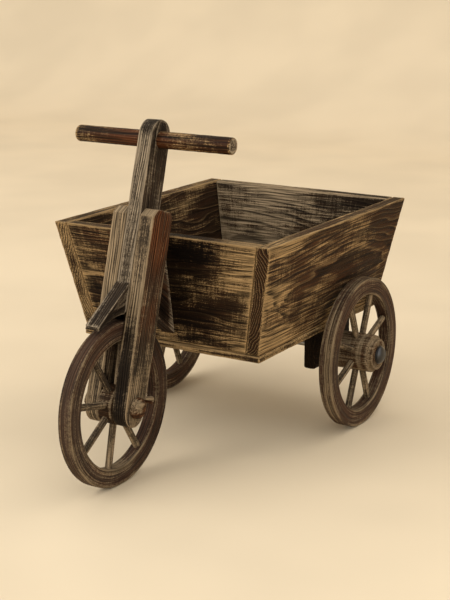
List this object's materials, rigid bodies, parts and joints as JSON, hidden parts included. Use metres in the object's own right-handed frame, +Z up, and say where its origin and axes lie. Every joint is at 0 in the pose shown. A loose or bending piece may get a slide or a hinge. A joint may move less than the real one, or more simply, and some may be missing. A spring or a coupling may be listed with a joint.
{
  "type": "three-wheeled wooden cart",
  "caption": "Rustic wooden push cart with a flared open tub, a braced raked fork with a cross handle, and spoked wheels that turn freely.",
  "frame": {"origin": "on the ground under the middle of the whole cart's bounding box", "axes": "+Z up, -Y towards the front wheel and fork, +X along the axles to the right of someone facing the cart's front"},
  "size_m": [0.4152, 0.6254, 0.4688],
  "materials": {
    "tub_wood": "wire-brushed pine, dark stain wiped back to tan on the raised grain",
    "fork_wood": "wire-brushed pine, grey-brown stain",
    "cheek_wood": "wire-brushed pine, reddish-brown stain",
    "handle_wood": "dark stained dowel, half gloss from handling",
    "rim_wood": "dark stained wood, worn on the edges",
    "hub_wood": "turned wood, dark stain",
    "spoke_wood": "dowel, thin stain",
    "block_wood": "near-black stained wood",
    "dark_steel": "blackened steel",
    "rod_steel": "plain steel rod",
    "screw_steel": "plain steel"
  },
  "bodies": {
    "cart": {"front_panel": "tub_wood", "back_panel": "tub_wood", "left_side_panel": "tub_wood", "right_side_panel": "tub_wood", "floor_board": "tub_wood", "stem": "fork_wood", "left_fork_cheek": "cheek_wood", "right_fork_cheek": "cheek_wood", "handlebar": "handle_wood", "fender_block": "fork_wood", "brace_board": "fork_wood", "left_axle_block": "block_wood", "right_axle_block": "block_wood", "front_axle": "rod_steel", "left_front_axle_cap": "hub_wood", "right_front_axle_cap": "hub_wood", "cheek_peg": "hub_wood", "rear_axle": "rod_steel", "rear_axle_washer_1": "dark_steel", "rear_axle_washer_2": "dark_steel", "rear_axle_washer_3": "dark_steel", "rear_axle_washer_4": "dark_steel", "rear_axle_cap_1": "dark_steel", "rear_axle_cap_2": "dark_steel", "brace_screw_1": "screw_steel", "brace_screw_2": "screw_steel", "axle_block_screw_1": "screw_steel", "axle_block_screw_2": "screw_steel", "axle_block_screw_3": "screw_steel", "axle_block_screw_4": "screw_steel"},
    "front_wheel": {"front_wheel_rim": "rim_wood", "front_wheel_hub": "hub_wood", "front_wheel_spoke_1": "spoke_wood", "front_wheel_spoke_2": "spoke_wood", "front_wheel_spoke_3": "spoke_wood", "front_wheel_spoke_4": "spoke_wood", "front_wheel_spoke_5": "spoke_wood", "front_wheel_spoke_6": "spoke_wood", "front_wheel_spoke_7": "spoke_wood", "front_wheel_spoke_8": "spoke_wood"},
    "rear_left_wheel": {"rear_left_wheel_rim": "rim_wood", "rear_left_wheel_hub": "hub_wood", "rear_left_wheel_spoke_1": "spoke_wood", "rear_left_wheel_spoke_2": "spoke_wood", "rear_left_wheel_spoke_3": "spoke_wood", "rear_left_wheel_spoke_4": "spoke_wood", "rear_left_wheel_spoke_5": "spoke_wood", "rear_left_wheel_spoke_6": "spoke_wood", "rear_left_wheel_spoke_7": "spoke_wood", "rear_left_wheel_spoke_8": "spoke_wood"},
    "rear_right_wheel": {"rear_right_wheel_rim": "rim_wood", "rear_right_wheel_hub": "hub_wood", "rear_right_wheel_spoke_1": "spoke_wood", "rear_right_wheel_spoke_2": "spoke_wood", "rear_right_wheel_spoke_3": "spoke_wood", "rear_right_wheel_spoke_4": "spoke_wood", "rear_right_wheel_spoke_5": "spoke_wood", "rear_right_wheel_spoke_6": "spoke_wood", "rear_right_wheel_spoke_7": "spoke_wood", "rear_right_wheel_spoke_8": "spoke_wood"}
  },
  "joints": [
    {"name": "front_wheel_spin", "type": "hinge", "parent": "cart", "child": "front_wheel", "pos_m": [0, -0.20267, 0.11], "axis": [1, 0, 0], "continuous": true},
    {"name": "rear_left_wheel_spin", "type": "hinge", "parent": "cart", "child": "rear_left_wheel", "pos_m": [-0.16699, 0.17493, 0.11], "axis": [1, 0, 0], "continuous": true},
    {"name": "rear_right_wheel_spin", "type": "hinge", "parent": "cart", "child": "rear_right_wheel", "pos_m": [0.16699, 0.17493, 0.11], "axis": [1, 0, 0], "continuous": true}
  ]
}
